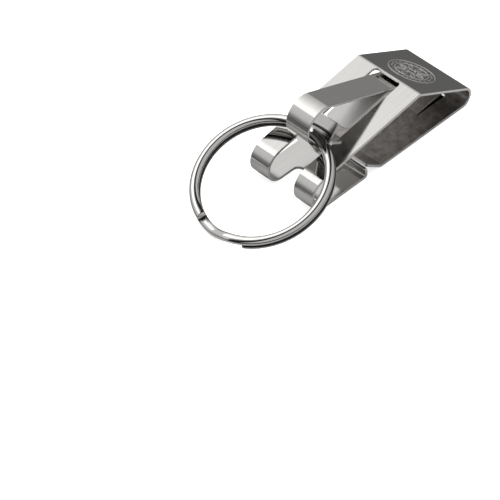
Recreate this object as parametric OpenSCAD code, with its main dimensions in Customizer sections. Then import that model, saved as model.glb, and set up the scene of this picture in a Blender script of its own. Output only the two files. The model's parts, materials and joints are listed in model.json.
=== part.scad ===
// Slip-on belt key clip: a folded strap of spring steel that closes round a belt,
// a hook leaf and a keeper leaf welded under its roof, and a split ring for keys.
// It lies on its back plate: X runs from the curls to the nose, Z away from the
// wearer, and the origin is the middle of the back plate's outer face.

/* [Strap] */
// Width of the strap, and so of the whole clip
strap_w = 19; // [17:0.5:24]
// Thickness of the strap's sheet
strap_t = 0.7; // [0.5:0.05:0.8]
// Length of the flat back plate, from the lip's corner to the nose bend
back_len = 26.7; // [24:0.5:32]
// Outer radius of the nose bend
nose_r = 2.8; // [2.5:0.1:3.4]
// Length of the roof, from the nose bend to the ridge
roof_len = 17.5; // [16:0.5:20]
// Angle between the roof and the back plate
roof_angle = 28.5; // [26:0.5:31]
// Outer radius of the ridge bend between the roof and the legs
ridge_r = 1.2; // [0.9:0.1:1.6]
// Outer radius of the curls at the ends of the legs
curl_r = 4.4; // [3.8:0.1:4.8]
// Distance from the lip's corner to the centre of the curls
curl_reach = 17.5; // [16.8:0.1:19.2]

/* [Window] */
// Width of the window between the two legs
window_w = 7.8; // [7.4:0.1:9]
// Radius of the window's corners at the ridge
window_round = 1; // [0.4:0.1:1.6]
// Distance from the ridge to the window's edge
window_setback = 0.35; // [0.2:0.05:1]
// Length of the notch in the tail plate, from the centre of the curls
notch_len = 5; // [3:0.5:7]
// Radius of the notch's corners
notch_round = 1.5; // [0.5:0.1:2.5]

/* [Catch and lip] */
// Distance from the lip's corner to the face of the upturned catch
catch_reach = 4.25; // [3.9:0.05:4.6]
// Clearance between the catch and the lip above it
catch_gap = 0.3; // [0.2:0.05:0.5]
// Outer radius of the catch's bend
catch_r = 1; // [0.8:0.1:1.4]
// Length of the sloping lip, from its corner
lip_len = 5.6; // [5.2:0.1:6.2]
// Slope of the lip
lip_angle = 35; // [33:1:40]
// Outer radius of the lip's bend
lip_r = 2; // [1:0.1:2.5]

/* [Grip tongue] */
// Width of the grip tongue cut from the back plate
grip_w = 7.8; // [6:0.2:10]
// Length of the grip tongue
grip_len = 9.2; // [7:0.2:10]
// Angle at which the grip tongue stands up into the belt space
grip_angle = 9; // [5:0.5:12]
// Width of the slit round the grip tongue
grip_slit = 0.35; // [0.25:0.05:0.5]

/* [Leaves] */
// Gap between each leaf's edge and the window's edge
leaf_side_gap = 0.6; // [0.4:0.05:1.2]
// Thickness of the hook leaf
hook_t = 0.6; // [0.5:0.05:0.7]
// Thickness of the keeper leaf
keeper_t = 0.5; // [0.4:0.05:0.6]
// Length of the leaves' welded ends under the roof
weld_len = 7.5; // [5:0.5:9]
// Distance from the ridge to the line where the leaves leave the roof
leaf_root = 5; // [4.5:0.1:6]
// Radius of the corners at the leaves' ends
leaf_round = 1; // [0.5:0.1:1.5]

/* [Hook leaf] */
// Slope of the hook leaf's straight tongue
tongue_angle = 21.4; // [20:0.2:23]
// Length of the hook leaf's straight tongue
tongue_len = 28.5; // [27.5:0.1:29.5]
// Outer radius of the hook's large bend
hook_r = 5; // [4.8:0.1:5.4]
// Angle turned by the hook's large bend
hook_bend_angle = 141.4; // [139:0.2:143]
// Depth of the hook's lowest point below the legs' outer faces
hook_dip = 1.4; // [1:0.1:1.8]
// Outer radius of the hook's small bend
hook_foot_r = 1.6; // [1.5:0.05:1.8]
// Angle turned by the hook's small bend
hook_foot_angle = 108.5; // [106:0.5:110]
// Length of the hook's upturned tip
hook_tip = 6.2; // [5:0.1:6.6]

/* [Keeper leaf] */
// Angle that the keeper leaf opens below the hook leaf
keeper_spread = 1.5; // [1:0.1:3]
// Length of the keeper leaf's rising part
keeper_rise = 7.9; // [7:0.1:8.2]
// Outer radius of the keeper leaf's bend
keeper_r = 1.5; // [1:0.1:2]
// Slope of the keeper leaf's long part, which follows the legs
keeper_slope = 10; // [9:0.5:12]
// Distance from the hook's tip to the keeper leaf's end, along X
keeper_gap = 2.05; // [1:0.05:3]

/* [Split ring] */
// Outer diameter of the split ring
ring_d = 33; // [30:0.5:36]
// Radial width of the ring's wire
wire_w = 2.2; // [1.8:0.1:2.4]
// Height of one turn of the ring's wire
wire_h = 1.2; // [1:0.05:1.25]
// Gap between the ring's two turns
wire_gap = 0.45; // [0.42:0.01:0.6]
// Clearance between the ring and the legs' edges that it lies over
ring_lift = 0.38; // [0.3:0.02:0.6]
// Sideways offset of the ring as it lies
ring_y = 1.2; // [0:0.1:1.4]

/* [Hidden] */
$fn = 96;

// Named overrun for every cut
over = 1;
// Small gap at each line where the sheet bends as a spring
flex_gap = 0.15;
// Gap between the keeper leaf and the hook leaf where they part
leaf_gap = 0.03;

steel = [0.74, 0.73, 0.71];
bright_steel = [0.82, 0.81, 0.79];

// Largest turn between two points of a bend's outline
bend_step = 4;

right_angle = 90;
half_turn = 180;
three_quarter_turn = 270;

// Places of the strap's corners in the X and Z plane
lip_x = -back_len / 2;
nose_x = back_len / 2;
roof_dir = [-cos(roof_angle), sin(roof_angle)];
roof_out = [sin(roof_angle), cos(roof_angle)];
roof_heading = half_turn - roof_angle;
roof_foot = [nose_x, nose_r] + nose_r * roof_out;
ridge = roof_foot + roof_len * roof_dir;
curl_x = lip_x - curl_reach;
curl_centre = [curl_x, curl_r];

// The legs run from the ridge to the curls as a tangent of the curls
ridge_to_curl = curl_centre - ridge;
curl_distance = norm(ridge_to_curl);
leg_heading = 2 * half_turn + atan2(ridge_to_curl[1], ridge_to_curl[0]) - asin(curl_r / curl_distance);
ridge_turn = leg_heading - roof_heading;
ridge_tangent = ridge_r * tan(ridge_turn / 2);
leg_flat = sqrt(curl_distance * curl_distance - curl_r * curl_r) - ridge_tangent;

lip_tangent = lip_r * tan(lip_angle / 2);
catch_x = lip_x - catch_reach;
catch_h = catch_reach * tan(lip_angle) - catch_gap / cos(lip_angle);

// Height of the legs' outer faces at a place along X
function leg_height(x) = ridge[1] + (x - ridge[0]) * tan(leg_heading);

// A step ahead along a heading, and a step to the left of it
function ahead(heading) = [cos(heading), sin(heading)];
function leftward(heading) = [-sin(heading), cos(heading)];

// Where the leaves leave the underside of the roof
leaf_w = window_w - 2 * leaf_side_gap;
leaf_foot = ridge - leaf_root * roof_dir - strap_t * roof_out;
tongue_heading = half_turn - tongue_angle;

// The hook's side is as long as it takes for the small bend to dip below the legs
hook_hub = leaf_foot + tongue_len * ahead(tongue_heading) + hook_r * leftward(tongue_heading);
side_heading = tongue_heading + hook_bend_angle;
foot_start = hook_hub + (hook_foot_r - hook_r) * leftward(side_heading);
hook_side = (leg_height(foot_start[0]) - hook_dip + hook_foot_r - foot_start[1])
    / (sin(side_heading) - cos(side_heading) * tan(leg_heading));
foot_hub = foot_start + hook_side * ahead(side_heading);
tip_heading = side_heading + hook_foot_angle;
tip_end = foot_hub - hook_foot_r * leftward(tip_heading) + hook_tip * ahead(tip_heading);

// The keeper leaf runs below the tongue, turns along the legs and ends short of the hook's tip
keeper_heading = tongue_heading + keeper_spread;
keeper_end_heading = half_turn + keeper_slope;
keeper_foot = leaf_foot - (hook_t + leaf_gap) * roof_out;
keeper_knee = keeper_foot + keeper_rise * ahead(keeper_heading)
    + keeper_r * (leftward(keeper_heading) - leftward(keeper_end_heading));
keeper_end_x = tip_end[0] + keeper_gap;
keeper_len = (keeper_knee[0] - keeper_end_x) / cos(keeper_slope);

// The ring leans from the table up into the hook, so its tilt follows from its sizes
ring_mid_r = (ring_d - wire_w) / 2;
wire_pitch = wire_h + wire_gap;
ring_stack = wire_pitch + wire_h;
ring_hold_x = foot_hub[0];
edge_y = strap_w / 2 + ring_y;
edge_back = ring_mid_r - sqrt(ring_mid_r * ring_mid_r - edge_y * edge_y);
tilt_guess = asin((leg_height(ring_hold_x) + ring_stack / 2) / (2 * ring_mid_r));
ring_hold_z = leg_height(ring_hold_x) + ring_stack / 2 / cos(tilt_guess) + ring_lift
    + edge_back * (sin(tilt_guess) - cos(tilt_guess) * tan(leg_heading));
wire_reach = wire_h / 2 + (wire_w - wire_h) / 2 * sin(tilt_guess) + wire_pitch / 2 * cos(tilt_guess);
ring_tilt = asin((ring_hold_z - wire_reach) / (2 * ring_mid_r));

// The ring's wire: one tube of nearly two turns with a step from one to the other
wire_rings_per_turn = 72;
wire_step_angle = 26;
wire_end_angle = 17;
wire_sides = 8;
// Where the ring's step stands, seen from the hook
ring_clock = 183;

// One face of a folded sheet in its side view. Each run goes straight for its first value,
// then turns left by its second round its third, the outer radius of the bend. The line
// lies at a depth inside the sheet's outer face, so a depth of zero is that face itself.
function face_line(runs, depth, start, heading, i = 0) =
    let (flat = runs[i][0], turn = runs[i][1], r = runs[i][2],
         inward = leftward(heading),
         foot = start + flat * ahead(heading),
         hub = foot + r * inward,
         steps = ceil(turn / bend_step),
         next = hub + r * [sin(heading + turn), -cos(heading + turn)])
    concat(
        i == 0 && flat > 0 ? [start + depth * inward] : [],
        [for (k = [0:steps]) let (a = heading + (steps > 0 ? turn * k / steps : 0))
            hub + (r - depth) * [sin(a), -cos(a)]],
        i + 1 < len(runs) ? face_line(runs, depth, next, heading + turn, i + 1) : []);

// A folded sheet of one width, standing in the clip's frame
module folded_sheet(start, heading, runs, t, w) {
    outer = face_line(runs, 0, start, heading);
    inner = face_line(runs, t, start, heading);
    rotate([right_angle, 0, 0])
        linear_extrude(height = w, center = true)
            polygon(concat(outer, [for (k = [len(inner) - 1:-1:0]) inner[k]]));
}

// Outline with two round corners at its far end along X
module round_ended(length, w, r) {
    translate([0, -w / 2]) square([length - r, w]);
    translate([0, r - w / 2]) square([length, w - 2 * r]);
    for (side = [-1, 1]) translate([length - r, side * (w / 2 - r)]) circle(r = r);
}

// Roof, legs and the upper half of the curls
module front_strap() {
    runs = [
        [0, roof_heading - right_angle, nose_r],
        [roof_len - ridge_tangent, ridge_turn, ridge_r],
        [leg_flat, three_quarter_turn - leg_heading, curl_r],
    ];
    window_left = curl_x - curl_r - over;
    window_right = ridge[0] - window_setback;
    color(steel) difference() {
        folded_sheet([nose_x + nose_r, nose_r], right_angle, runs, strap_t, strap_w);
        translate([window_left, 0, 0])
            linear_extrude(height = ridge[1] + over)
                round_ended(window_right - window_left, window_w, window_round);
    }
}

// Lower half of the curls, the notched plate and the upturned catch
module tail_plate() {
    runs = [
        [0, right_angle, curl_r],
        [catch_x - curl_x - catch_r, right_angle, catch_r],
        [catch_h - catch_r, 0, 0],
    ];
    slot_left = curl_x - curl_r - over;
    slot_right = curl_x + notch_len;
    color(steel) difference() {
        folded_sheet([curl_x - curl_r, curl_r], three_quarter_turn, runs, strap_t, strap_w);
        translate([slot_left, 0, -over])
            linear_extrude(height = curl_r + 2 * over)
                round_ended(slot_right - slot_left, window_w, notch_round);
        translate([slot_left, -strap_w / 2 - over, curl_r - flex_gap])
            cube([curl_r + over, strap_w + 2 * over, flex_gap + over]);
    }
}

// Lip, back plate and the lower half of the nose
module back_plate() {
    runs = [
        [lip_len - lip_tangent, lip_angle, lip_r],
        [back_len - lip_tangent, right_angle, nose_r],
    ];
    lip_start = [lip_x - lip_len * cos(lip_angle), lip_len * sin(lip_angle)];
    grip_root = nose_x - grip_len;
    color(steel) difference() {
        folded_sheet(lip_start, -lip_angle, runs, strap_t, strap_w);
        translate([grip_root, -grip_w / 2 - grip_slit, -over])
            cube([grip_len + grip_slit, grip_w + 2 * grip_slit, strap_t + 2 * over]);
        translate([nose_x, -strap_w / 2 - over, nose_r - flex_gap])
            cube([nose_r + over, strap_w + 2 * over, flex_gap + over]);
    }
}

// Tongue that presses the belt against the roof, hinged at the end of its slit
module grip_tongue() {
    grip_root = nose_x - grip_len;
    color(steel) translate([grip_root, 0, strap_t]) rotate([0, -grip_angle, 0])
        translate([flex_gap, 0, -strap_t])
            linear_extrude(height = strap_t)
                round_ended(grip_len - 2 * flex_gap, grip_w, leaf_round);
}

// Flat end of a leaf, lying against the face above it
module leaf_tab(foot, t) {
    translate([foot[0], 0, foot[1]]) rotate([0, roof_angle, 0])
        mirror([0, 0, 1])
            linear_extrude(height = t)
                round_ended(weld_len, leaf_w, leaf_round);
}

// Welded end of the hook leaf under the roof
module hook_tab() {
    color(bright_steel) leaf_tab(leaf_foot, hook_t);
}

// Tongue, hook and upturned tip
module hook_leaf() {
    runs = [
        [tongue_len - flex_gap, hook_bend_angle, hook_r],
        [hook_side, hook_foot_angle, hook_foot_r],
        [hook_tip, 0, 0],
    ];
    start = leaf_foot + flex_gap * ahead(tongue_heading);
    color(bright_steel) folded_sheet(start, tongue_heading, runs, hook_t, leaf_w);
}

// Welded end of the keeper leaf under the hook leaf's tab
module keeper_tab() {
    color(bright_steel) leaf_tab(leaf_foot - hook_t * roof_out, keeper_t);
}

// Spring leaf that fills the window between the legs, up to the hook's tip
module keeper_leaf() {
    runs = [
        [keeper_rise - flex_gap, keeper_end_heading - keeper_heading, keeper_r],
        [keeper_len, 0, 0],
    ];
    start = keeper_foot + flex_gap * ahead(keeper_heading);
    root_x = keeper_foot[0] + over;
    color(bright_steel) intersection() {
        folded_sheet(start, keeper_heading, runs, keeper_t, leaf_w);
        translate([root_x, 0, 0])
            mirror([1, 0, 0])
                linear_extrude(height = ridge[1] + over)
                    round_ended(root_x - keeper_end_x, leaf_w, leaf_round);
    }
}

// Height of the wire's middle at an angle along its two turns
function wire_height(angle) =
    let (from = 2 * half_turn - wire_step_angle / 2,
         share = max(0, min(1, (angle - from) / wire_step_angle)))
    wire_pitch * (share * share * (3 - 2 * share) - 1 / 2);

// Middle of the wire at an angle, in the ring's own plane
function wire_middle(angle) =
    [ring_mid_r * cos(angle), ring_mid_r * sin(angle), wire_height(angle)];

// Round-cornered section of the wire at an angle
function wire_section(angle) =
    [for (side = [0:wire_sides - 1])
        let (turn = 2 * half_turn * (side + 1 / 2) / wire_sides,
             out = ring_mid_r + wire_w / 2 * cos(turn) / cos(half_turn / wire_sides),
             up = wire_height(angle) + wire_h / 2 * sin(turn) / cos(half_turn / wire_sides))
        [out * cos(angle), out * sin(angle), up]];

wire_angles = [for (k = [0:2 * wire_rings_per_turn])
    wire_end_angle + (4 * half_turn - 2 * wire_end_angle) * k / (2 * wire_rings_per_turn)];

// Least gap of the wire to its own next turn, over the points one turn apart
wire_least_gap = min([for (a = wire_angles) if (a + 2 * half_turn < 4 * half_turn - wire_end_angle)
    norm(wire_middle(a + 2 * half_turn) - wire_middle(a)) - wire_h]);
echo(wire_least_gap = wire_least_gap);

// Split ring of nearly two turns, leaning from the table into the hook
module split_ring() {
    points = [for (a = wire_angles) each wire_section(a)];
    last = len(wire_angles) - 1;
    sides = [for (k = [0:last - 1], s = [0:wire_sides - 1])
        let (a = k * wire_sides + s, b = k * wire_sides + (s + 1) % wire_sides)
        [a, b, b + wire_sides, a + wire_sides]];
    first_cap = [for (s = [wire_sides - 1:-1:0]) s];
    last_cap = [for (s = [0:wire_sides - 1]) last * wire_sides + s];
    color(steel) translate([ring_hold_x, 0, ring_hold_z]) rotate([0, -ring_tilt, 0])
        translate([-ring_mid_r, ring_y, 0]) rotate(ring_clock)
            polyhedron(points = points, faces = concat(sides, [first_cap, last_cap]), convexity = 4);
}

front_strap();
tail_plate();
back_plate();
grip_tongue();
hook_tab();
hook_leaf();
keeper_tab();
keeper_leaf();
split_ring();
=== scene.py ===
import json
import math

import bpy
import numpy as np
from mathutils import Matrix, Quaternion, Vector
from mathutils.geometry import delaunay_2d_cdt


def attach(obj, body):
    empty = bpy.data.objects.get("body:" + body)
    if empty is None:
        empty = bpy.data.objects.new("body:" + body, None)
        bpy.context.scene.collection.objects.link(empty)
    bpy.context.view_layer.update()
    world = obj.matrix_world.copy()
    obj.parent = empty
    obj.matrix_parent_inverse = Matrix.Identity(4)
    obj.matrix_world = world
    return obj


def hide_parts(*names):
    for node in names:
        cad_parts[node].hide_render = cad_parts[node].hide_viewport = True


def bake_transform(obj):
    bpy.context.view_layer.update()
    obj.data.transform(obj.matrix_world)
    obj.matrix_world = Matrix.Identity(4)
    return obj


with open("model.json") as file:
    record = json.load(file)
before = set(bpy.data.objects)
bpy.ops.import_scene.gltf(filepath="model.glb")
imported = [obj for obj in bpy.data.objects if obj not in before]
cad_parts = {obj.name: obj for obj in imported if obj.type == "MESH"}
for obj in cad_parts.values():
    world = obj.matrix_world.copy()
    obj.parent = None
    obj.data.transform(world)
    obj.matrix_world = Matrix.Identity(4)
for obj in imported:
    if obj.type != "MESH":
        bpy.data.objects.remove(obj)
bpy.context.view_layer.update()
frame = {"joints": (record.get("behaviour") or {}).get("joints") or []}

# Strap
# One sheet of nickelled spring steel, 0.7 mm thick, blanked flat with its window and slit,
# polished, and folded round a belt. Its sizes are in millimetres. The sheet's own line runs
# from the lip along the back plate, nose, roof, ridge and legs to the curls and the catch.
MM = 0.001
strap_w = 19.0
strap_t = 0.7
back_len = 26.7
lip_len = 5.6
lip_slope = 35.0
lip_r = 2.0
nose_r = 2.8
roof_len = 17.5
roof_slope = 28.5
ridge_r = 1.2
curl_r = 4.4
curl_reach = 17.5
catch_reach = 4.25
catch_r = 1.0
catch_h = 2.6
window_w = 7.8
window_round = 1.0
window_into_ridge = 0.05
notch_len = 5.0
notch_round = 1.5
strap_corner = 0.6
rounded_edge = 0.11
seam_past_nose = 0.5
seam_before_curl = 1.5
# How finely bends, corners and rounded edges are cut, and how far a corner's edge may reach out
bend_step = 2.5
corner_step = 12.0
round_steps = 4
corner_stretch = 2.0
same_place = 1e-7
merge_within = 1e-9


def ahead(angle):
    return np.array([math.cos(math.radians(angle)), math.sin(math.radians(angle))])


def leftward(angle):
    return np.array([-math.sin(math.radians(angle)), math.cos(math.radians(angle))])


def fold_line(foot, angle, runs, thick):
    """A sheet's flats and left-hand bends, as (from, to, foot, angle, turn, radius) along its middle."""
    line, s, foot = [], 0.0, np.array(foot, float)
    for flat, turn, r in runs:
        if flat:
            line.append((s, s + flat, foot, angle, 0.0, 0.0))
            s += flat
            foot = foot + flat * ahead(angle)
        if turn:
            length = math.radians(turn) * (r - thick / 2)
            line.append((s, s + length, foot, angle, turn, r))
            foot = foot + r * leftward(angle) - r * leftward(angle + turn)
            angle += turn
            s += length
    return line


def on_fold(line, s, depth):
    """The point at s along the sheet and at a depth under its outer face, and the sheet's angle there."""
    start, end, foot, angle, turn, r = next((run for run in line if s <= run[1]), line[-1])
    if not turn:
        return foot + (s - start) * ahead(angle) + depth * leftward(angle), angle
    there = angle + turn * (s - start) / (end - start)
    return foot + r * leftward(angle) - (r - depth) * leftward(there), there


def bend_lines(line):
    """Where along the sheet the facets of its bends begin and end."""
    places = set()
    for start, end, foot, angle, turn, r in line:
        if turn:
            steps = math.ceil(turn / bend_step)
            places.update(start + (end - start) * i / steps for i in range(steps + 1))
    return sorted(places)


def rounded(corners):
    """Points of an outline whose corners are (s, y, radius)."""
    points = []
    for k, (s, y, r) in enumerate(corners):
        here = np.array([s, y])
        if not r:
            points.append(here)
            continue
        before = np.array(corners[k - 1][:2]) - here
        after = np.array(corners[(k + 1) % len(corners)][:2]) - here
        before, after = before / np.linalg.norm(before), after / np.linalg.norm(after)
        half = math.acos(np.clip(before @ after, -1, 1)) / 2
        middle = here + (before + after) / np.linalg.norm(before + after) * r / math.sin(half)
        first = here + before * r / math.tan(half) - middle
        last = here + after * r / math.tan(half) - middle
        turn = math.atan2(first[0] * last[1] - first[1] * last[0], first @ last)
        steps = max(2, round(abs(math.degrees(turn)) / corner_step))
        for i in range(steps + 1):
            c, d = math.cos(turn * i / steps), math.sin(turn * i / steps)
            points.append(middle + np.array([c * first[0] - d * first[1], d * first[0] + c * first[1]]))
    return points


def edge_columns(points, closed, cuts):
    """An outline as (inset point, step out to the edge), with one more wherever a cut crosses it."""
    count = len(points)
    steps = []
    for k in range(count):
        sides = []
        if closed or k > 0:
            sides.append(points[k] - points[k - 1])
        if closed or k < count - 1:
            sides.append(points[(k + 1) % count] - points[k])
        outs = [np.array([side[1], -side[0]]) / np.linalg.norm(side) for side in sides]
        out = sum(outs) / np.linalg.norm(sum(outs))
        steps.append(out * rounded_edge / max(1 / corner_stretch, out @ outs[0]))
    columns = []
    for k in range(count if closed else count - 1):
        a, b = points[k] - steps[k], points[(k + 1) % count] - steps[(k + 1) % count]
        columns.append((a, steps[k]))
        shares = sorted((c - a[0]) / (b[0] - a[0]) for c in cuts if (c - a[0]) * (c - b[0]) < 0)
        for share in shares:
            columns.append((a + share * (b - a), steps[k] + share * (steps[(k + 1) % count] - steps[k])))
    if not closed:
        columns.append((points[-1] - steps[-1], steps[-1]))
    return columns


# How far a rounded edge has turned at each of its points: a quarter at each face, and straight between
quarter_turn = [math.pi / 2 * i / round_steps for i in range(round_steps + 1)]
edge_turns = quarter_turn + [a + math.pi / 2 for a in quarter_turn]
per_column = len(edge_turns)


def over_edge(line, thick, inset, out, unbuffed_and_shade):
    """The rounded edge from the outer face to the inner one, as rows of what its mesh needs at each point:
    the point, its normal, its place on the sheet, how far the edge has turned, and how far it is darkened
    as unbuffed steel and painted shade."""
    rows = []
    for k, a in enumerate(edge_turns):
        s, y = inset + out * math.sin(a)
        middle = rounded_edge if k < len(quarter_turn) else thick - rounded_edge
        depth = middle - rounded_edge * math.cos(a)
        at, angle = on_fold(line, s, depth)
        flat = out / np.linalg.norm(out) * math.sin(a)
        tip = -leftward(angle) * math.cos(a) + ahead(angle) * flat[0]
        rows.append(((at[0] * MM, y * MM, at[1] * MM), (tip[0], flat[1], tip[1]), (s, y, depth),
                     math.sin(a), unbuffed_and_shade(s) * max(0.0, -math.cos(a))))
    return rows


def flat_triangles(tops, loops, cuts):
    """Triangles that fill the flat sheet between its loops, with an edge along every cut."""
    edges = [(loop[k - 1], loop[k]) for loop in loops for k in range(len(loop))]
    for c in cuts:
        met = [k for k in range(len(tops)) if abs(tops[k][0] - c) < same_place]
        met.sort(key=lambda k: tops[k][1])
        edges += list(zip(met[::2], met[1::2]))
    made = delaunay_2d_cdt([Vector(p) for p in tops], edges, [], 0, merge_within)
    spots = np.array([tuple(p) for p in made[0]])
    corners = np.array([face for face in made[2] if len(face) == 3])
    middles = spots[corners].mean(1)
    crossed = np.zeros(len(middles), int)
    for loop in loops:
        for (s0, y0), (s1, y1) in zip(tops[loop], tops[loop[1:] + loop[:1]]):
            if y0 != y1:
                between = (y0 > middles[:, 1]) != (y1 > middles[:, 1])
                crossed += between & (middles[:, 0] < s0 + (middles[:, 1] - y0) * (s1 - s0) / (y1 - y0))
    origin = [ids[0] for ids in made[3]]
    return [[origin[k] for k in face] for face, odd in zip(corners, crossed % 2) if odd]


def facing_out(faces, verts, normals):
    """The faces, each turned so that its front is where its normals point."""
    points, lined = np.array(verts), np.array(normals)
    turned = []
    for face in faces:
        p = points[list(face)]
        across = np.cross(p[2] - p[0], p[3] - p[1]) if len(face) == 4 else np.cross(p[1] - p[0], p[2] - p[0])
        turned.append(face if across @ lined[list(face)].sum(0) > 0 else tuple(reversed(face)))
    return turned


def note_surface(mesh, places, rounding, dullness_and_shade):
    """What the steel reads from a mesh: the place on the sheet, how far an edge has turned there, and how
    far it is darkened, as unbuffed steel and painted shade."""
    spot = mesh.attributes.new("sheet_place", "FLOAT_VECTOR", "POINT")
    spot.data.foreach_set("vector", np.array(places, np.float32).ravel())
    for name, values in (("edge_round", rounding), ("unbuffed_and_shade", dullness_and_shade)):
        kept = mesh.attributes.new(name, "FLOAT", "POINT")
        kept.data.foreach_set("value", np.array(values, np.float32))


def stand(name, data):
    """A new object in the scene, from its mesh, lamp or lens."""
    made = bpy.data.objects.new(name, data)
    bpy.context.scene.collection.objects.link(made)
    return made


def sheet_piece(name, line, thick, outline, holes=(), unbuffed_and_shade=lambda s: 0.0):
    """A piece of folded sheet. The outline is a ring of open chains, with a straight seam between each and
    the next, or one chain that is marked closed. Every free edge is rounded, and every normal is the true
    one. How far the inner face is darkened, partly as unbuffed steel and partly as painted shade, is a share
    that may change along the sheet."""
    cuts = bend_lines(line)
    chains = [(edge_columns(points, closed, cuts), closed) for points, closed in outline]
    chains += [(edge_columns(points, True, cuts), True) for points in holes]
    rows, faces, tops, starts = [], [], [], []
    for columns, closed in chains:
        starts.append(len(rows))
        for inset, out in columns:
            tops.append(inset)
            rows += over_edge(line, thick, inset, out, unbuffed_and_shade)
        for k in range(len(columns) if closed else len(columns) - 1):
            here = starts[-1] + k * per_column
            there = starts[-1] + (k + 1) % len(columns) * per_column
            faces += [(here + i, here + i + 1, there + i + 1, there + i) for i in range(per_column - 1)]
    verts, normals, places, rounding, dullness_and_shade = (list(column) for column in zip(*rows))
    # The seams' end faces
    seams = []
    outer = [k for k, (points, closed) in enumerate(outline) if not closed]
    for k in outer:
        after = starts[outer[(outer.index(k) + 1) % len(outer)]]
        end = starts[k] + (len(chains[k][0]) - 1) * per_column
        seams.append((*range(end, end + per_column), *reversed(range(after, after + per_column))))
    # The flat faces between the rounded edges
    rings = [[start // per_column + k for k in range(len(columns))]
             for start, (columns, closed) in zip(starts, chains)]
    loops = [sum((rings[k] for k in outer), [])] if outer else []
    loops += [ring for ring, (columns, closed) in zip(rings, chains) if closed]
    for corners in flat_triangles(np.array(tops), loops, cuts):
        top = [k * per_column for k in corners]
        faces.append(tuple(top))
        faces.append(tuple(k + per_column - 1 for k in reversed(top)))
    mesh = bpy.data.meshes.new(name)
    mesh.from_pydata(verts, [], facing_out(faces, verts, normals) + seams)
    mesh.update()
    mesh.polygons.foreach_set("use_smooth", [True] * len(mesh.polygons))
    mesh.normals_split_custom_set_from_vertices(normals)
    note_surface(mesh, places, rounding, dullness_and_shade)
    return stand(name, mesh)


lip_x = -back_len / 2
nose_x = back_len / 2
roof_angle = 180 - roof_slope
roof_foot = np.array([nose_x, nose_r]) - nose_r * leftward(roof_angle)
ridge = roof_foot + roof_len * ahead(roof_angle)
curl_hub = np.array([lip_x - curl_reach, curl_r])
to_curl = curl_hub - ridge
curl_far = float(np.linalg.norm(to_curl))
leg_angle = 360 + math.degrees(math.atan2(to_curl[1], to_curl[0]) - math.asin(curl_r / curl_far))
ridge_turn = leg_angle - roof_angle
ridge_tangent = ridge_r * math.tan(math.radians(ridge_turn / 2))
lip_tangent = lip_r * math.tan(math.radians(lip_slope / 2))
leg_flat = math.sqrt(curl_far ** 2 - curl_r ** 2) - ridge_tangent
catch_x = lip_x - catch_reach
lip_end = (lip_x - lip_len * ahead(lip_slope)[0], lip_len * ahead(lip_slope)[1])
strap_line = fold_line(lip_end, -lip_slope, [
    (lip_len - lip_tangent, lip_slope, lip_r),
    (back_len - lip_tangent, roof_angle, nose_r),
    (roof_len - ridge_tangent, ridge_turn, ridge_r),
    (leg_flat, 360 - leg_angle, curl_r),
    (catch_x - curl_hub[0] - catch_r, 90, catch_r),
    (catch_h - catch_r, 0, 0),
], strap_t)
back_flat, nose_bend = strap_line[2:4]
ridge_bend = strap_line[5]
curl_bend, tail_flat = strap_line[7:9]
strap_end = strap_line[-1][1]
nose_seam = nose_bend[1] + seam_past_nose
leg_seam = curl_bend[0] - seam_before_curl
window_end = ridge_bend[1] - window_into_ridge
notch_end = tail_flat[0] + notch_len
half_w = strap_w / 2
half_window = window_w / 2


# Strap steel
# Hard nickel plate over polished steel: nearly a mirror, with a fine drawn grain along the strip,
# hairline scratches from use, a slow waver in the sheet and edges rubbed bright. The inner faces
# that no buffing wheel reaches once the sheet is folded are duller and mottled, and are darkened
# partly as painted shade inside the folds.
nickel = (0.63, 0.62, 0.605)
nickel_shade = (0.6, 0.59, 0.575)
rubbed_nickel = (0.75, 0.74, 0.725)
shaded_raw_dark = (0.3, 0.285, 0.275)
shaded_raw_light = (0.54, 0.515, 0.5)
noise_middle = 0.5
grain_span = (0.3, 0.7)
smoothest_share = 0.8
roughest_share = 1.3
scratch_ways = ((0.45, 0.012), (-1.05, 0.009))
scratch_stretch = (0.16, 1.5, 1.0)
scratch_rough = 0.16
scratch_depth = 0.0012
unbuffed_rough = 0.25


def feed(tree, node, **values):
    """Give a node its settings by name, and its sockets by name as Base_Color or by number as in_1. A socket
    takes a value, or the output that feeds it."""
    for key, value in values.items():
        numbered = key.startswith("in_")
        if key[0].islower() and not numbered:
            setattr(node, key, value)
            continue
        socket = node.inputs[int(key[3:]) if numbered else key.replace("_", " ")]
        if isinstance(value, bpy.types.NodeSocket):
            tree.links.new(value, socket)
        else:
            socket.default_value = value
    return node


def put(tree, kind, **values):
    """A new node, given its settings and sockets in the same way."""
    return feed(tree, tree.nodes.new(kind), **values)


def worked(tree, operation, first, second=0.0):
    """One step of arithmetic on values or outputs."""
    return put(tree, "ShaderNodeMath", operation=operation, in_0=first, in_1=second).outputs[0]


def ranged(tree, value, start, end, at_start=0.0, at_end=1.0):
    """What goes evenly from at_start to at_end while the value goes from start to end, and no further."""
    made = put(tree, "ShaderNodeMapRange", in_0=value, in_1=start, in_2=end, in_3=at_start, in_4=at_end)
    return made.outputs[0]


def noise(tree, place, scale, detail, rough=0.5):
    made = put(tree, "ShaderNodeTexNoise", Vector=place, Scale=scale, Detail=detail, Roughness=rough)
    return made.outputs[0]


def stretched(tree, place, by):
    return put(tree, "ShaderNodeVectorMath", operation="MULTIPLY", in_0=place, in_1=by).outputs[0]


def mixed(tree, share, low, high):
    """A colour from low at share 0 to high at share 1."""
    return put(tree, "ShaderNodeMix", data_type="RGBA", in_0=share, in_6=low, in_7=high).outputs[2]


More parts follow.
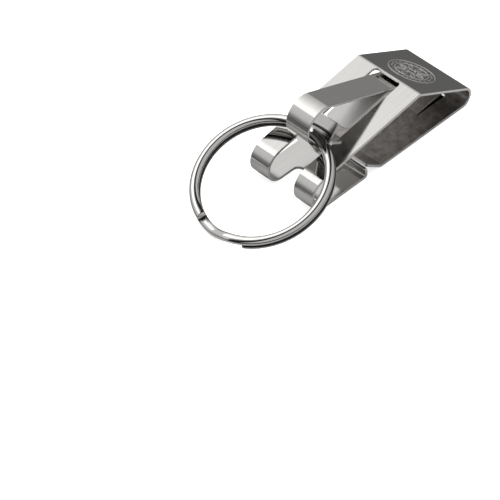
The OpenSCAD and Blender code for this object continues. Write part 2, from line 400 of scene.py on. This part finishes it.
def group_of(name, ins, outs):
    """A node group with named sockets, as its tree, what comes in, and the node for what goes out."""
    tree = bpy.data.node_groups.new(name, "ShaderNodeTree")
    for way, sockets in (("INPUT", ins), ("OUTPUT", outs)):
        for label, kind in sockets.items():
            tree.interface.new_socket(label, in_out=way, socket_type="NodeSocket" + kind)
    return tree, tree.nodes.new("NodeGroupInput").outputs, tree.nodes.new("NodeGroupOutput")


def effect(tree, group, **values):
    """What a group puts out in a material, with the material's own values for it."""
    return put(tree, "ShaderNodeGroup", node_tree=group, **values).outputs


def grain_group():
    """Fine drawn lines along the strip. Bed is 0 to 1 and Shade is the same, softer and broader."""
    tree, given, outs = group_of("drawn_grain", {"Place": "Vector", "Along": "Float", "Across": "Float"},
                                 {"Bed": "Float", "Shade": "Float"})
    spread = put(tree, "ShaderNodeCombineXYZ", X=given["Along"], Y=given["Across"], Z=2.0)
    drawn = stretched(tree, given["Place"], spread.outputs[0])
    feed(tree, outs, Bed=noise(tree, drawn, scale=1.0, detail=4.0, rough=0.62),
         Shade=noise(tree, drawn, scale=0.22, detail=2.0))
    return tree


def scratch_group():
    """Sparse hairlines in two directions, as a mask."""
    tree, given, outs = group_of("hairline_scratches", {"Place": "Vector", "Amount": "Float"},
                                 {"Mask": "Float"})
    masks = []
    for turn, width in scratch_ways:
        turned = put(tree, "ShaderNodeVectorRotate", Vector=given["Place"], Angle=turn).outputs[0]
        lines = noise(tree, stretched(tree, turned, scratch_stretch), scale=1.0, detail=1.0, rough=0.4)
        off = worked(tree, "ABSOLUTE", worked(tree, "SUBTRACT", lines, noise_middle))
        hair = ranged(tree, off, start=0.0, end=width, at_start=1.0, at_end=0.0)
        here = ranged(tree, noise(tree, turned, scale=0.28, detail=1.0), start=0.5, end=0.62)
        masks.append(worked(tree, "MULTIPLY", hair, here))
    most = worked(tree, "MAXIMUM", *masks)
    feed(tree, outs, Mask=worked(tree, "MULTIPLY", most, given["Amount"]))
    return tree


def waver_group():
    """The slow unevenness of a polished sheet, as a height in millimetres."""
    tree, given, outs = group_of("sheet_waver", {"Place": "Vector", "Depth": "Float"}, {"Height": "Float"})
    waves = noise(tree, given["Place"], scale=0.14, detail=1.0, rough=0.4)
    feed(tree, outs, Height=worked(tree, "MULTIPLY", waves, given["Depth"]))
    return tree


def rubbed_group():
    """Where edges are rubbed bright, as a mask from how far the edge has turned there."""
    tree, given, outs = group_of("rubbed_edges", {"Place": "Vector", "Round": "Float"}, {"Mask": "Float"})
    patches = noise(tree, given["Place"], scale=0.9, detail=3.0, rough=0.6)
    broken = ranged(tree, patches, start=0.3, end=0.6, at_start=0.35)
    feed(tree, outs, Mask=worked(tree, "MULTIPLY", broken, given["Round"]))
    return tree


def unbuffed_and_shaded_group():
    """Darkened faces, partly unbuffed steel and partly painted shade: mottled between two colours, and
    rougher by Blur.
    """
    tree, given, outs = group_of("unbuffed_and_shaded_faces", {"Place": "Vector", "Share": "Float", "Buffed": "Color",
                                                    "Dark": "Color", "Light": "Color"},
                                 {"Color": "Color", "Blur": "Float"})
    spots = noise(tree, given["Place"], scale=0.55, detail=5.0, rough=0.65)
    mottle = ranged(tree, spots, start=0.38, end=0.62)
    raw = mixed(tree, mottle, given["Dark"], given["Light"])
    feed(tree, outs, Color=mixed(tree, given["Share"], given["Buffed"], raw),
         Blur=worked(tree, "MULTIPLY", given["Share"], unbuffed_rough))
    return tree


drawn_grain = grain_group()
hairline_scratches = scratch_group()
sheet_waver = waver_group()
rubbed_edges = rubbed_group()
unbuffed_and_shaded_faces = unbuffed_and_shaded_group()


def plated_steel(name, colour, shade, rough, grain, along, across, waver, scratch, dulled_and_shaded=1.0):
    """Nickelled steel from the five groups, each with its own values. The dulled share scales the colours of
    its darkened faces, which are partly unbuffed steel and partly painted shade.
    """
    made = bpy.data.materials.new(name)
    made.use_nodes = True
    tree = made.node_tree
    place = put(tree, "ShaderNodeAttribute", attribute_name="sheet_place").outputs["Vector"]
    turned = put(tree, "ShaderNodeAttribute", attribute_name="edge_round").outputs["Fac"]
    inner = put(tree, "ShaderNodeAttribute", attribute_name="unbuffed_and_shade").outputs["Fac"]
    lines = effect(tree, drawn_grain, Place=place, Along=along, Across=across)
    hairs = effect(tree, hairline_scratches, Place=place, Amount=scratch)
    waves = effect(tree, sheet_waver, Place=place, Depth=waver)
    edges = effect(tree, rubbed_edges, Place=place, Round=turned)
    tone = ranged(tree, lines["Shade"], *grain_span)
    body = mixed(tree, tone, (*shade, 1), (*colour, 1))
    faces = effect(tree, unbuffed_and_shaded_faces, Place=place, Share=inner,
                   Buffed=mixed(tree, edges["Mask"], body, (*rubbed_nickel, 1)),
                   Dark=(*(part * dulled_and_shaded for part in shaded_raw_dark), 1),
                   Light=(*(part * dulled_and_shaded for part in shaded_raw_light), 1))
    matt = ranged(tree, lines["Bed"], *grain_span, rough * smoothest_share, rough * roughest_share)
    worn = worked(tree, "ADD", matt, worked(tree, "MULTIPLY", hairs["Mask"], scratch_rough))
    bed = worked(tree, "MULTIPLY", lines["Bed"], grain)
    cut = worked(tree, "MULTIPLY", hairs["Mask"], -scratch_depth)
    level = worked(tree, "ADD", worked(tree, "ADD", bed, cut), waves["Height"])
    bump = put(tree, "ShaderNodeBump", Height=level, Distance=MM)
    feed(tree, tree.nodes["Principled BSDF"], Metallic=1.0, Base_Color=faces["Color"],
         Roughness=worked(tree, "ADD", worn, faces["Blur"]), Normal=bump.outputs[0])
    return made


strap_plating = plated_steel("strap_plating", nickel, nickel_shade, rough=0.09, grain=0.0005,
                             along=0.35, across=9.0, waver=0.016, scratch=0.5)


# Roof and legs
# The middle of the strap: the roof that shows when the clip is worn, the ridge, and the two legs
# beside the window. It is the stiff part that carries both leaves, and it keeps its place.
# How far the roof's and the legs' inner faces are darkened, partly as duller unbuffed steel and partly as
# painted shade on their undersides.
roof_unbuffed_and_shade = 0.7
legs_unbuffed_and_shade = 1.0
roof = sheet_piece("strap_roof_and_legs", strap_line, strap_t, [
    (rounded([(nose_seam, -half_w, 0), (leg_seam, -half_w, 0)]), False),
    (rounded([(leg_seam, -half_window, 0), (window_end, -half_window, window_round),
              (window_end, half_window, window_round), (leg_seam, half_window, 0)]), False),
    (rounded([(leg_seam, half_w, 0), (nose_seam, half_w, 0)]), False),
], unbuffed_and_shade=lambda s: roof_unbuffed_and_shade if s < ridge_bend[1] else legs_unbuffed_and_shade)
roof.data.materials.append(strap_plating)
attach(roof, "clip")
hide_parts("front_strap")


# Roof mark
# A round ornament pressed up in the middle of the roof: a border of two rings with strokes
# between them, round a rosette. It stands 0.12 mm proud and is a plain pattern.
mark_back = 8.3
mark_r = 5.55
border_share = 0.72
eye_share = 0.17
circle_steps = 72
strokes = 28
stroke_gap_share = 0.07
stroke_top_share = 0.93
stroke_short_share = 0.05
stroke_leans = (5, 5, -4, -4)
petals = 8
petal_steps = 16
petal_reach_share = 0.45
petal_long_share = 0.19
petal_wide_share = 0.09
bead_w = 0.26
bead_h = 0.12
bead_shares = ((-0.5, -0.3), (-0.3, 0.6), (0.0, 1.0), (0.3, 0.6), (0.5, -0.3))
bead_end_w_share = 0.4
bead_end_h_share = -0.3
relief = (0.66, 0.65, 0.635)


def circle(steps):
    """Points round a circle of radius 1."""
    return [ahead(360 * k / steps) for k in range(steps)]


def mark_lines():
    """Each line of the ornament as flat points and whether it is closed."""
    rings = (mark_r, border_share * mark_r, eye_share * mark_r)
    lines = [([r * p for p in circle(circle_steps)], True) for r in rings]
    for k in range(strokes):
        turn = 360 * k / strokes
        low = (border_share + stroke_gap_share) * mark_r
        high = (stroke_top_share - stroke_short_share * (k % 2)) * mark_r
        lean = stroke_leans[k % len(stroke_leans)]
        stroke = [low * ahead(turn), (low + high) / 2 * ahead(turn + lean / 2), high * ahead(turn + lean)]
        lines.append((stroke, False))
    for k in range(petals):
        turn = 360 * k / petals
        hub = petal_reach_share * mark_r * ahead(turn)
        long, wide = petal_long_share * mark_r, petal_wide_share * mark_r
        petal = [hub + long * p[0] * ahead(turn) + wide * p[1] * leftward(turn) for p in circle(petal_steps)]
        lines.append((petal, True))
    return lines


def beads(name, lines, foot, angle):
    """Round-topped beads along flat lines, standing on the sheet's outer face at foot."""
    verts, faces = [], []
    row = len(bead_shares)
    for points, closed in lines:
        first = len(verts)
        count = len(points)
        for k, point in enumerate(points):
            before = points[k - 1] if closed or k else point
            after = points[(k + 1) % count] if closed or k < count - 1 else point
            way = (after - before) / np.linalg.norm(after - before)
            end = not closed and k in (0, count - 1)
            for share, rise in bead_shares:
                aside = share * bead_w * (bead_end_w_share if end else 1.0)
                up = bead_h * (bead_end_h_share if end else rise)
                spot = point + aside * np.array([-way[1], way[0]])
                at = foot + spot[0] * ahead(angle) - up * leftward(angle)
                verts.append((at[0] * MM, spot[1] * MM, at[1] * MM))
        for k in range(count if closed else count - 1):
            here, there = first + k * row, first + (k + 1) % count * row
            faces += [(here + i, there + i, there + i + 1, here + i + 1) for i in range(row - 1)]
    mesh = bpy.data.meshes.new(name)
    mesh.from_pydata(verts, [], faces)
    mesh.polygons.foreach_set("use_smooth", [True] * len(faces))
    mesh.update()
    return stand(name, mesh)


mark_foot, mark_angle = on_fold(strap_line, ridge_bend[0] + ridge_tangent - mark_back, 0)
mark = beads("roof_ornament", mark_lines(), mark_foot, mark_angle)
worn_relief = plated_steel("worn_relief", relief, relief, rough=0.55, grain=0.0,
                           along=1.0, across=1.0, waver=0.0, scratch=0.0)
mark.data.materials.append(worn_relief)
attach(mark, "clip")


# Curls and tail plate
# The ends of the legs rolled under into two curls, the flat plate that joins them, and the catch
# bent up from its end. On the real clip the curls bend as springs when it is opened over a belt.
tail = sheet_piece("strap_curls_and_tail", strap_line, strap_t, [
    (rounded([(leg_seam, -half_w, 0), (strap_end, -half_w, strap_corner),
              (strap_end, half_w, strap_corner), (leg_seam, half_w, 0)]), False),
    (rounded([(leg_seam, half_window, 0), (notch_end, half_window, notch_round),
              (notch_end, -half_window, notch_round), (leg_seam, -half_window, 0)]), False),
])
tail.data.materials.append(strap_plating)


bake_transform(tail)
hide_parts("tail_plate")


# Back plate, nose and lip
# The half of the strap that goes behind the belt, from the nose that hangs over the belt's top
# edge to the lip that the catch snaps against, with a slit cut round the grip tongue.
grip_len = 9.2
grip_w = 7.8
grip_slit = 0.35
slit_root_round = 0.12
slit_end_round = 1.0
# How far the back plate's inner face is darkened, partly as unbuffed steel and partly as painted shade under
# the roof.
back_unbuffed_and_shade = 0.9
grip_root = nose_x - grip_len
root_s = back_flat[0] + grip_root - (lip_x + lip_tangent)
slit_end = root_s + grip_len + grip_slit
half_slit = grip_w / 2 + grip_slit
back = sheet_piece("strap_back_and_nose", strap_line, strap_t, [
    (rounded([(nose_seam, half_w, 0), (0, half_w, strap_corner),
              (0, -half_w, strap_corner), (nose_seam, -half_w, 0)]), False),
], holes=[
    rounded([(root_s, -half_slit, slit_root_round), (root_s, half_slit, slit_root_round),
             (slit_end, half_slit, slit_end_round), (slit_end, -half_slit, slit_end_round)]),
], unbuffed_and_shade=lambda s: back_unbuffed_and_shade)
back.data.materials.append(strap_plating)
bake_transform(back)
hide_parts("back_plate")


# Grip tongue
# Cut free from the back plate on three sides and bent up by 9 degrees, so that its round-cornered
# end presses the belt against the roof.
grip_slope = 9.0
grip_r = 4.0
grip_bend_len = 0.65
grip_round = 1.0
# How far the grip tongue's inner face is darkened, partly as unbuffed steel and partly as painted shade.
grip_unbuffed_and_shade = 0.8
grip_line = fold_line((grip_root, 0), 0, [
    (0, grip_slope, grip_r),
    (grip_len - grip_bend_len, 0, 0),
], strap_t)
grip_end = grip_line[-1][1]
half_grip = grip_w / 2
grip = sheet_piece("grip_tongue_bent_up", grip_line, strap_t, [
    (rounded([(0, -half_grip, 0), (grip_end, -half_grip, grip_round),
              (grip_end, half_grip, grip_round), (0, half_grip, 0)]), False),
], unbuffed_and_shade=lambda s: grip_unbuffed_and_shade)
grip.data.materials.append(strap_plating)
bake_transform(grip)
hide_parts("grip_tongue")


# Hook leaf
# A narrower strip of 0.6 mm spring steel. One end is spot-welded under the roof, and the rest
# comes out through the window as a straight tongue and is rolled into the hook that holds the ring.
leaf_w = 6.6
leaf_root = 5.0
weld_len = 7.5
leaf_round = 1.0
root_r = 3.0
hook_t = 0.6
tongue_slope = 21.4
tongue_len = 28.5
hook_r = 5.0
hook_bend = 141.4
hook_side = 5.44
foot_r = 1.6
foot_bend = 108.5
hook_tip = 6.2
tip_round = 0.5
buffed_and_unshaded_before_tip = 0.5
leaf_nickel = (0.65, 0.64, 0.625)
leaf_nickel_shade = (0.62, 0.61, 0.595)
half_leaf = leaf_w / 2


def leaf_outline(end, end_round):
    return [(rounded([(0, -half_leaf, leaf_round), (end, -half_leaf, end_round),
                      (end, half_leaf, end_round), (0, half_leaf, leaf_round)]), True)]


roof_out = -leftward(roof_angle)
leaf_foot = ridge - leaf_root * ahead(roof_angle) - strap_t * roof_out
tongue_angle = 180 - tongue_slope
root_turn = tongue_angle - roof_angle
root_tangent = root_r * math.tan(math.radians(root_turn / 2))
hook_line = fold_line(leaf_foot - weld_len * ahead(roof_angle), roof_angle, [
    (weld_len - root_tangent, root_turn, root_r),
    (tongue_len - root_tangent, hook_bend, hook_r),
    (hook_side, foot_bend, foot_r),
    (hook_tip, 0, 0),
], hook_t)
hook_end = hook_line[-1][1]
tongue_start = hook_line[2][0]
tip_start = hook_line[5][1]
# The leaf's inner face from the tongue to just short of the tip is darkened, partly as unbuffed steel and
# partly as painted shade inside the hook.
hook = sheet_piece("hook_leaf_with_tip", hook_line, hook_t, leaf_outline(hook_end, tip_round),
                   unbuffed_and_shade=lambda s: 1.0 if tongue_start < s < tip_start - buffed_and_unshaded_before_tip else 0.0)
leaf_plating = plated_steel("leaf_plating", leaf_nickel, leaf_nickel_shade, rough=0.13, grain=0.0004,
                            along=0.3, across=11.0, waver=0.01, scratch=0.4, dulled_and_shaded=0.3)
hook.data.materials.append(leaf_plating)
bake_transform(hook)
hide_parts("hook_tab", "hook_leaf")


# Keeper leaf
# A thinner and paler strip welded under the hook leaf. It fills the window between the legs as far
# as the hook's tip, and gives way when a ring is pushed past it into the hook.
keeper_t = 0.5
keeper_gap = 0.03
keeper_spread = 1.5
keeper_rise = 7.9
keeper_r = 1.5
keeper_slope = 10.0
keeper_len = 12.92
keeper_round = 1.2
pale_nickel = (0.9, 0.89, 0.875)
pale_nickel_shade = (0.88, 0.87, 0.855)
keeper_angle = tongue_angle + keeper_spread
keeper_root = keeper_angle - roof_angle
keeper_tangent = root_r * math.tan(math.radians(keeper_root / 2))
keeper_foot = leaf_foot - (hook_t + keeper_gap) * roof_out
keeper_line = fold_line(keeper_foot - weld_len * ahead(roof_angle), roof_angle, [
    (weld_len - keeper_tangent, keeper_root, root_r),
    (keeper_rise - keeper_tangent, 180 + keeper_slope - keeper_angle, keeper_r),
    (keeper_len, 0, 0),
], keeper_t)
keeper_end = keeper_line[-1][1]
keeper = sheet_piece("keeper_leaf_in_window", keeper_line, keeper_t, leaf_outline(keeper_end, keeper_round))
keeper_plating = plated_steel("keeper_plating", pale_nickel, pale_nickel_shade, rough=0.5, grain=0.0004,
                              along=0.3, across=11.0, waver=0.01, scratch=0.4, dulled_and_shaded=0.3)
keeper.data.materials.append(keeper_plating)
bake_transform(keeper)
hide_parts("keeper_tab", "keeper_leaf")


# Split ring
# Spring wire flattened a little and wound nearly twice round, so that the two turns lie pressed
# together, with a step where one turn climbs over to the other between the two cut ends. The crevice
# between the turns, and the sides of the wire next to it, are painted dark as shade.
ring_d = 33.0
wire_w = 2.2
wire_h = 1.44
wire_pitch = 1.41
wire_sides = 24
turn_steps = 150
step_angle = 26.0
end_angle = 22.0
end_round = 0.3
end_taper = 0.5
end_dome = (0, 30, 60)
crevice_from = 0.15
crevice_over = 0.25
ring_clock = 183.0
ring_side = 1.2
ring_tilt = 20.993
ring_nickel = (0.7, 0.69, 0.675)
ring_nickel_shade = (0.68, 0.67, 0.655)
ring_mid = (ring_d - wire_w) / 2
ring_hold = Vector(next(j["pos_m"] for j in frame["joints"] if j["name"] == "ring_swing")) / MM


def wire_level(angle):
    """The height of the wire's middle over the ring's, which changes only at the step."""
    share = min(1.0, max(0.0, (angle - 360 + step_angle / 2) / step_angle))
    return wire_pitch * (share * share * (3 - 2 * share) - 0.5)


def wire_rows():
    """The wire's cross-sections, as (angle along it, share of its full size), with rounded ends."""
    span = 720 - 2 * end_angle
    angles = [end_angle + span * k / (2 * turn_steps) for k in range(2 * turn_steps + 1)]
    rounding = end_round / (math.radians(1) * ring_mid)
    dome = [(rounding * (1 - math.cos(math.radians(a))), 1 - end_taper * (1 - math.sin(math.radians(a))))
            for a in end_dome]
    rows = [(angles[0] + back, size) for back, size in dome]
    rows += [(angle, 1.0) for angle in angles[1:-1]]
    rows += [(angles[-1] - back, size) for back, size in reversed(dome)]
    return rows


def crevice_shade(angle, side):
    """How far a side of the wire lies in the crevice between the turns, where there are two. This is the
    share of painted shade there.
    """
    lone = end_angle + 360 > angle > 360 - end_angle
    facing = 0.0 if lone else -math.sin(side) * wire_level(angle) / (wire_pitch / 2)
    return min(1.0, max(0.0, (facing - crevice_from) / crevice_over))


def ring_mesh(name):
    """The wire as a ring of points at each cross-section, with a flat face over each end."""
    verts, places, dullness_and_shade, faces = [], [], [], []
    rows = wire_rows()
    c, s = math.cos(math.radians(ring_tilt)), math.sin(math.radians(ring_tilt))
    for angle, size in rows:
        turn = math.radians(angle + ring_clock)
        for k in range(wire_sides):
            a = 2 * math.pi * k / wire_sides
            out = ring_mid + size * wire_w / 2 * math.cos(a)
            up = wire_level(angle) + size * wire_h / 2 * math.sin(a)
            x, y = out * math.cos(turn) - ring_mid, out * math.sin(turn) + ring_side
            verts.append((Vector((x * c - up * s, y, x * s + up * c)) + ring_hold) * MM)
            places.append((math.radians(angle) * ring_mid, a, 0.0))
            dullness_and_shade.append(crevice_shade(angle, a))
    for row in range(len(rows) - 1):
        for k in range(wire_sides):
            a, b = row * wire_sides + k, row * wire_sides + (k + 1) % wire_sides
            faces.append((a, a + wire_sides, b + wire_sides, b))
    last = (len(rows) - 1) * wire_sides
    faces += [tuple(range(wire_sides)), tuple(reversed(range(last, last + wire_sides)))]
    mesh = bpy.data.meshes.new(name)
    mesh.from_pydata(verts, [], faces)
    mesh.update()
    mesh.polygons.foreach_set("use_smooth", [True] * (len(faces) - 2) + [False] * 2)
    note_surface(mesh, places, np.zeros(len(verts)), dullness_and_shade)
    return mesh


ring = stand("split_ring_wire", ring_mesh("split_ring_wire"))
ring_plating = plated_steel("ring_plating", ring_nickel, ring_nickel_shade, rough=0.05, grain=0.0002,
                            along=0.5, across=3.0, waver=0.004, scratch=0.3, dulled_and_shaded=0.08)
ring.data.materials.append(ring_plating)
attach(ring, "ring")
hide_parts("split_ring")


# Studio
# A pale floor and soft light, in metres. A softbox that the camera doesn't see and a room with
# light and dark walls give the steel its bright and dark bands.
floor_reach = 6.0
floor_drop = 0.00002
paper_white = (0.9, 0.9, 0.9, 1)
paper_rough = 0.9
paper_glow = 0.75
part_middle = (-0.02, -0.004, 0)
# The near-black painted shadow on the paper under the grip tongue's slit
slit_painted_shadow = (0.03, 0.03, 0.03, 1)
slit_middle = ((grip_root + grip_len / 2) * MM, 0, 0)
slit_reach = (grip_len / 2 * MM, 0.0055)
softbox_top = 2.0


def flat_panel(name, centre, u, v):
    """A four-sided panel from its middle and two half sides, in metres."""
    middle, u, v = Vector(centre), Vector(u), Vector(v)
    mesh = bpy.data.meshes.new(name)
    mesh.from_pydata([middle - u - v, middle + u - v, middle + u + v, middle - u + v], [], [(0, 1, 2, 3)])
    panel = stand(name, mesh)
    return panel


floor = flat_panel("studio_floor", (0, 0, -floor_drop), (floor_reach, 0, 0), (0, floor_reach, 0))
paper = bpy.data.materials.new("studio_paper")
paper.use_nodes = True
tree = paper.node_tree
where = put(tree, "ShaderNodeTexCoord").outputs["Object"]
ray = put(tree, "ShaderNodeLightPath").outputs
# Painted reflection: glossy rays see the paper as a darker grey, and darker still away from the part, while
# the camera sees it white
away = put(tree, "ShaderNodeVectorMath", operation="DISTANCE", in_0=where, in_1=part_middle).outputs["Value"]
grey = ranged(tree, away, start=0.045, end=0.06, at_start=0.5, at_end=0.13)
reflected = put(tree, "ShaderNodeCombineColor", Red=grey, Green=grey, Blue=grey).outputs[0]
tint = mixed(tree, ray["Is Glossy Ray"], paper_white, reflected)
# Painted shadow: under the slit round the grip tongue the paper is coloured near black and doesn't glow
from_slit = put(tree, "ShaderNodeVectorMath", operation="SUBTRACT", in_0=where, in_1=slit_middle).outputs[0]
unsigned = put(tree, "ShaderNodeVectorMath", operation="ABSOLUTE", in_0=from_slit).outputs[0]
apart = put(tree, "ShaderNodeSeparateXYZ", Vector=unsigned).outputs
past_x = worked(tree, "GREATER_THAN", apart["X"], slit_reach[0])
past_y = worked(tree, "GREATER_THAN", apart["Y"], slit_reach[1])
underside = put(tree, "ShaderNodeNewGeometry").outputs["Backfacing"]
outside_painted_shadow = worked(tree, "MAXIMUM", worked(tree, "MAXIMUM", past_x, past_y), underside)
seen = worked(tree, "MULTIPLY", ray["Is Camera Ray"], outside_painted_shadow)
feed(tree, tree.nodes["Principled BSDF"], Roughness=paper_rough, Specular_IOR_Level=0.0,
     Base_Color=mixed(tree, outside_painted_shadow, slit_painted_shadow, tint), Emission_Color=(1, 1, 1, 1),
     Emission_Strength=worked(tree, "MULTIPLY", seen, paper_glow))
floor.data.materials.append(paper)


def softbox(name, centre, u, v, levels):
    """A lit panel with its light at even steps along its first side."""
    panel = flat_panel(name, centre, u, v)
    made = bpy.data.materials.new(name)
    made.use_nodes = True
    tree = made.node_tree
    tree.nodes.remove(tree.nodes["Principled BSDF"])
    where = put(tree, "ShaderNodeTexCoord").outputs["Generated"]
    along = put(tree, "ShaderNodeSeparateXYZ", Vector=where).outputs["X"]
    fall = put(tree, "ShaderNodeFloatCurve", Value=along)
    curve = fall.mapping.curves[0]
    for k, level in enumerate(levels[:-1]):
        if k:
            curve.points.new(k / (len(levels) - 1), level / softbox_top)
    curve.points[0].location = (0, levels[0] / softbox_top)
    curve.points[-1].location = (1, levels[-1] / softbox_top)
    glow = put(tree, "ShaderNodeEmission", Strength=worked(tree, "MULTIPLY", fall.outputs[0], softbox_top))
    feed(tree, tree.nodes["Material Output"], Surface=glow.outputs[0])
    panel.data.materials.append(made)
    panel.visible_camera = False
    panel.visible_shadow = False
    return panel


softbox("softbox_overhead", centre=(0.12, 0.51, 0.50), u=(0.38, 0, 0), v=(0, 0.245, 0),
        levels=(1.9, 1.75, 1.28, 0.98, 0.85))

lamp = bpy.data.lights.new("overhead_lamp", "AREA")
lamp.shape = "DISK"
lamp.size = 0.9
lamp.energy = 6.0
hung = stand("overhead_lamp", lamp)
hung.location = (0.1, 0.1, 0.9)
hung.rotation_euler = (-hung.location).to_track_quat("-Z", "Y").to_euler()
hung.visible_glossy = False

room_levels = [(0.0, 0.23), (0.18, 0.3), (0.26, 0.52), (0.4, 0.72), (0.6, 0.8), (1.0, 0.8)]
room = bpy.data.worlds.new("studio_room")
room.use_nodes = True
tree = room.node_tree
outward = put(tree, "ShaderNodeTexCoord").outputs["Generated"]
way = put(tree, "ShaderNodeSeparateXYZ", Vector=outward).outputs
wall = put(tree, "ShaderNodeValToRGB", in_0=way["Z"])
stops = wall.color_ramp.elements
for at, level in room_levels[1:-1]:
    stops.new(at)
for stop, (at, level) in zip(stops, room_levels):
    stop.color = (level, level, level, 1)
far_wall = ranged(tree, way["Y"], start=0.3, end=0.46, at_start=0.03)
near_wall = ranged(tree, way["Y"], start=0.08, end=0.04, at_end=0.75)
skirting = ranged(tree, way["Z"], start=0.25, end=0.45, at_start=0.05)
beside = ranged(tree, way["X"], start=-0.4, end=-0.1)
near_side = worked(tree, "MULTIPLY", near_wall, worked(tree, "MAXIMUM", skirting, beside))
strength = worked(tree, "ADD", far_wall, near_side)
feed(tree, tree.nodes["Background"], Color=wall.outputs[0], Strength=strength)
bpy.context.scene.world = room
bpy.context.scene.view_settings.view_transform = "Standard"


# Camera
# It stands where the photograph was taken from, and takes in the same space.
view_azimuth = -43.9
view_height = 44.65
view_roll = -1.79
view_distance = 0.87
view_width = 0.10846
nearest_seen = 0.01
aim = Vector((-0.05174, -0.0068, 0.0))
azimuth, height = math.radians(view_azimuth), math.radians(view_height)
back_way = Vector((math.sin(azimuth) * math.cos(height), -math.cos(azimuth) * math.cos(height),
                   math.sin(height)))
lens = bpy.data.cameras.new("camera")
lens.lens = lens.sensor_width * view_distance / view_width
lens.clip_start = nearest_seen
camera = stand("camera", lens)
camera.location = aim + view_distance * back_way
facing = (-back_way).to_track_quat("-Z", "Y") @ Quaternion((0, 0, 1), math.radians(view_roll))
camera.rotation_euler = facing.to_euler()
bpy.context.scene.camera = camera
